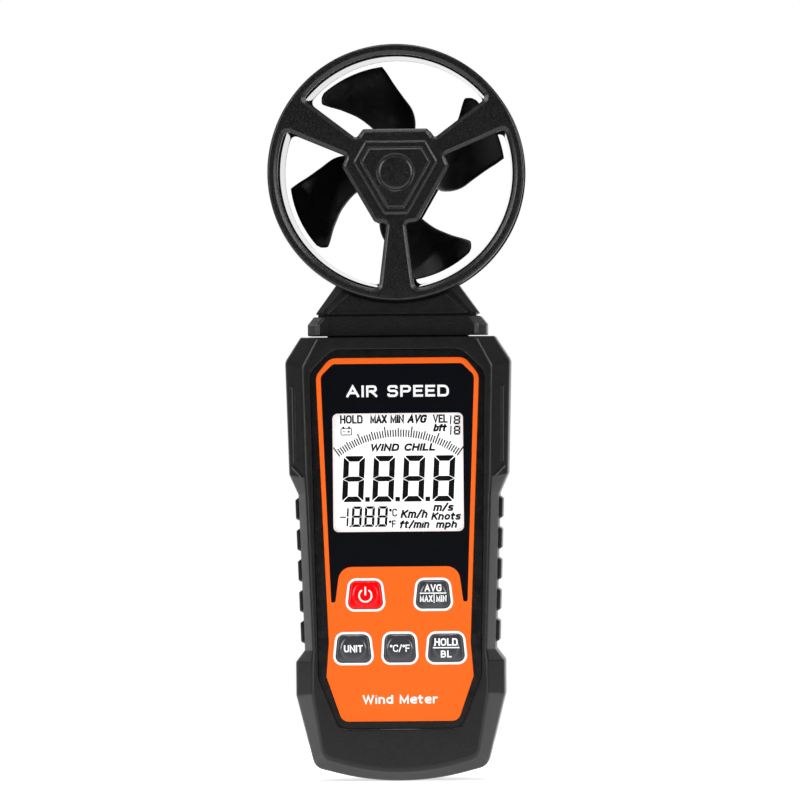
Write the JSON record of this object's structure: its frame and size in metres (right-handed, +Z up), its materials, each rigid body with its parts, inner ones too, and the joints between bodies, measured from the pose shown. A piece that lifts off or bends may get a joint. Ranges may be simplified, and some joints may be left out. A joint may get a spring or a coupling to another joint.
{
  "type": "handheld weather meter",
  "caption": "Handheld vane anemometer: round fan sensor with spoked guards on a tapered neck, above a ribbed grip case with display, keypad and battery compartment.",
  "frame": {"origin": "under the middle of the upright case, level with the lowest point of its arched foot", "axes": "+Z up towards the fan, -Y out of the display, +X to the right seen from the front"},
  "size_m": [0.0614, 0.032, 0.1762],
  "materials": {
    "boot_rubber": "fine grained soft black",
    "case_plastic": "black, semi gloss",
    "head_plastic": "fine spark-eroded black texture",
    "badge_plastic": "fine textured black",
    "liner_plastic": "polished black",
    "impeller_plastic": "smooth black",
    "printed_label": "orange and black printed film",
    "clear_window": "clear, polished",
    "display_glass": "pale liquid crystal glass",
    "white_plastic": "white diffusing",
    "contact_rubber": "striped elastomer",
    "frame_plastic": "black",
    "keypad_rubber": "translucent grey silicone",
    "circuit_board": "green solder resist",
    "chip_plastic": "black epoxy",
    "battery_jacket": "printed foil jacket",
    "contact_metal": "nickel plated",
    "screw_steel": "black zinc",
    "shaft_steel": "ground steel",
    "magnet_steel": "sintered magnet",
    "bearing_brass": "sintered bush",
    "red_key": "red",
    "grey_key": "dark grey",
    "grey_wire": "grey sheath",
    "red_wire": "red sheath",
    "black_wire": "black sheath",
    "bead_resin": "brown resin"
  },
  "bodies": {
    "case": {"rubber_boot": "boot_rubber", "front_shell": "case_plastic", "rear_shell": "case_plastic", "case_screws": "screw_steel", "label_panel": "printed_label", "display_window": "clear_window", "lcd_glass": "display_glass", "backlight_panel": "white_plastic", "contact_strip": "contact_rubber", "lcd_frame": "frame_plastic", "keypad_mat": "keypad_rubber", "main_board": "circuit_board", "processor_chip": "chip_plastic", "buzzer": "chip_plastic", "sensor_plug": "white_plastic", "board_screws": "screw_steel", "battery_cells": "battery_jacket", "battery_contacts": "contact_metal", "battery_springs": "contact_metal", "head_front_shell": "head_plastic", "head_rear_shell": "head_plastic", "head_screws": "screw_steel", "front_guard": "head_plastic", "rear_guard": "head_plastic", "hub_badge": "badge_plastic", "duct_liner": "liner_plastic", "front_bearing": "bearing_brass", "rear_bearing": "bearing_brass", "speed_sensor": "chip_plastic", "sensor_lead": "grey_wire", "red_lead": "red_wire", "black_lead": "black_wire", "thermistor": "bead_resin"},
    "power_key": {"power_key": "red_key"},
    "average_key": {"average_key": "grey_key"},
    "unit_key": {"unit_key": "grey_key"},
    "temperature_key": {"temperature_key": "grey_key"},
    "hold_key": {"hold_key": "grey_key"},
    "door": {"battery_door": "case_plastic"},
    "rotor": {"impeller": "impeller_plastic", "impeller_shaft": "shaft_steel", "hub_magnet": "magnet_steel"}
  },
  "joints": [
    {"name": "impeller_spin", "type": "hinge", "parent": "case", "child": "rotor", "pos_m": [0, 0, 0.1455], "axis": [0, 1, 0], "continuous": true},
    {"name": "power_key_press", "type": "slide", "parent": "case", "child": "power_key", "axis": [0, 1, 0], "range_m": [0, 0.0005], "stiffness_N_per_m": 400, "springref_m": -0.0002},
    {"name": "average_key_press", "type": "slide", "parent": "case", "child": "average_key", "axis": [0, 1, 0], "range_m": [0, 0.0005], "stiffness_N_per_m": 400, "springref_m": -0.0002},
    {"name": "unit_key_press", "type": "slide", "parent": "case", "child": "unit_key", "axis": [0, 1, 0], "range_m": [0, 0.0005], "stiffness_N_per_m": 400, "springref_m": -0.0002},
    {"name": "temperature_key_press", "type": "slide", "parent": "case", "child": "temperature_key", "axis": [0, 1, 0], "range_m": [0, 0.0005], "stiffness_N_per_m": 400, "springref_m": -0.0002},
    {"name": "hold_key_press", "type": "slide", "parent": "case", "child": "hold_key", "axis": [0, 1, 0], "range_m": [0, 0.0005], "stiffness_N_per_m": 400, "springref_m": -0.0002},
    {"name": "battery_door_lift", "type": "slide", "parent": "case", "child": "door", "axis": [0, 1, 0], "range_m": [0, 0.03]}
  ]
}
